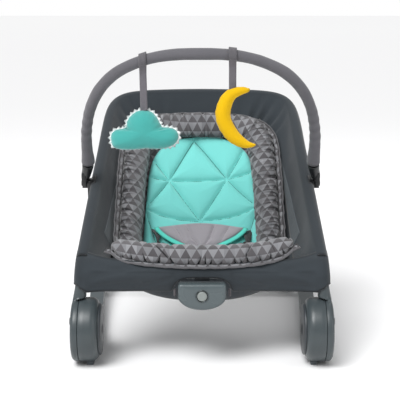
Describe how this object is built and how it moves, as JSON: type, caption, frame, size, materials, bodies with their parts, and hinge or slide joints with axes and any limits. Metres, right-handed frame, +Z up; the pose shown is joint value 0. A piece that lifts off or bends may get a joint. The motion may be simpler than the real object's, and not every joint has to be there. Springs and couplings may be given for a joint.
{
  "type": "baby bouncer seat",
  "caption": "Folding baby bouncer that also rocks: padded sling seat on two hubs, curved rails, flip-out rear feet, swinging toy bar with plush toys and a vibration unit.",
  "frame": {"origin": "on the floor, under the middle of the whole seat's box", "axes": "+X to the right seen from the front, +Y back towards the head, +Z up"},
  "size_m": [0.5206, 0.6, 0.5958],
  "materials": {
    "moulding": "satin moulded grey",
    "dark_moulding": "fine matt",
    "steel": "grey powder coat",
    "rubber": "matt",
    "charcoal_fabric": "plain woven polyester",
    "print_fabric": "two-tone triangle print",
    "teal_fabric": "quilted knit",
    "grey_fabric": "quilted knit",
    "buckle_plastic": "satin black",
    "bar_fabric": "plain weave",
    "cloud_plush": "brushed velour",
    "moon_plush": "brushed velour",
    "unit_plastic": "semi-gloss",
    "button_plastic": "satin",
    "board": "solder mask",
    "battery_case": "printed jacket"
  },
  "bodies": {
    "base": {"base_rail_left": "moulding", "base_rail_right": "moulding", "drum_cap_left": "moulding", "drum_cap_right": "moulding", "hub_axle_left": "steel", "hub_axle_right": "steel", "front_pad_left": "rubber", "front_pad_right": "rubber", "rear_cross_tube": "dark_moulding"},
    "kickstand": {"kickstand_frame": "dark_moulding", "kickstand_foot_left": "rubber", "kickstand_foot_right": "rubber"},
    "fold_lock": {"lock_ring_left": "dark_moulding", "lock_ring_right": "dark_moulding"},
    "seat": {"hub_cover_left": "moulding", "hub_cover_right": "moulding", "side_tube_left": "steel", "side_tube_right": "steel", "back_hoop": "steel", "front_tube": "steel", "frame_sleeve_left": "charcoal_fabric", "frame_sleeve_right": "charcoal_fabric", "seat_sling": "charcoal_fabric", "front_apron": "charcoal_fabric", "pad_liner": "print_fabric", "bolster_ring": "print_fabric", "front_bolster": "print_fabric", "seat_pad": "teal_fabric", "crotch_pad": "grey_fabric", "buckle_left": "buckle_plastic", "buckle_right": "buckle_plastic", "toy_bar_clip_left": "dark_moulding", "toy_bar_clip_right": "dark_moulding", "unit_front_shell": "unit_plastic", "unit_rear_shell": "dark_moulding", "battery_door": "dark_moulding", "circuit_board": "board", "battery": "battery_case", "vibration_motor": "steel"},
    "release_left": {"release_button_left": "dark_moulding"},
    "release_right": {"release_button_right": "dark_moulding"},
    "tongue_left": {"buckle_tongue_left": "buckle_plastic"},
    "tongue_right": {"buckle_tongue_right": "buckle_plastic"},
    "toy_bar": {"toy_bar_end_left": "dark_moulding", "toy_bar_end_right": "dark_moulding", "toy_bar_core": "dark_moulding", "toy_bar_sleeve": "bar_fabric"},
    "cloud": {"toy_cloud": "cloud_plush", "cloud_strap": "bar_fabric"},
    "moon": {"toy_moon": "moon_plush", "moon_strap": "bar_fabric"},
    "eccentric": {"motor_weight": "steel"},
    "power": {"power_button": "button_plastic"}
  },
  "joints": [
    {"name": "kickstand_fold", "type": "hinge", "parent": "base", "child": "kickstand", "pos_m": [0, 0.2605, 0.044], "axis": [1, 0, 0], "range_deg": [-85, 0]},
    {"name": "seat_fold", "type": "hinge", "parent": "base", "child": "fold_lock", "pos_m": [0, -0.2395, 0.065], "axis": [1, 0, 0], "range_deg": [-30, 0]},
    {"name": "seat_bounce", "type": "hinge", "parent": "fold_lock", "child": "seat", "pos_m": [0, -0.2395, 0.065], "axis": [1, 0, 0], "range_deg": [-4, 4], "stiffness_Nm_per_rad": 260, "springref_deg": 1.27},
    {"name": "release_left_press", "type": "slide", "parent": "seat", "child": "release_left", "axis": [1, 0, 0], "range_m": [0, 0.004], "stiffness_N_per_m": 500},
    {"name": "release_right_press", "type": "slide", "parent": "seat", "child": "release_right", "axis": [-1, 0, 0], "range_m": [0, 0.004], "stiffness_N_per_m": 500},
    {"name": "tongue_left_pull", "type": "slide", "parent": "seat", "child": "tongue_left", "axis": [-0.9252, -0.0565, 0.3751], "range_m": [0, 0.008]},
    {"name": "tongue_right_pull", "type": "slide", "parent": "seat", "child": "tongue_right", "axis": [0.9252, -0.0565, 0.3751], "range_m": [0, 0.008]},
    {"name": "toy_bar_swing", "type": "hinge", "parent": "seat", "child": "toy_bar", "pos_m": [0, -0.0445, 0.315], "axis": [1, 0, 0], "range_deg": [-60, 25]},
    {"name": "cloud_swing", "type": "hinge", "parent": "toy_bar", "child": "cloud", "pos_m": [-0.11562, -0.19706, 0.5699], "axis": [0.9156, -0.213, 0.341], "range_deg": [-35, 35]},
    {"name": "moon_swing", "type": "hinge", "parent": "toy_bar", "child": "moon", "pos_m": [0.05718, -0.20533, 0.58291], "axis": [0.9927, 0.0606, -0.1043], "range_deg": [-35, 35]},
    {"name": "weight_spin", "type": "hinge", "parent": "seat", "child": "eccentric", "pos_m": [0.01, -0.2595, 0.131], "axis": [1, 0, 0], "continuous": true},
    {"name": "power_press", "type": "slide", "parent": "seat", "child": "power", "axis": [0, 1, 0], "range_m": [0, 0.002], "stiffness_N_per_m": 400}
  ]
}
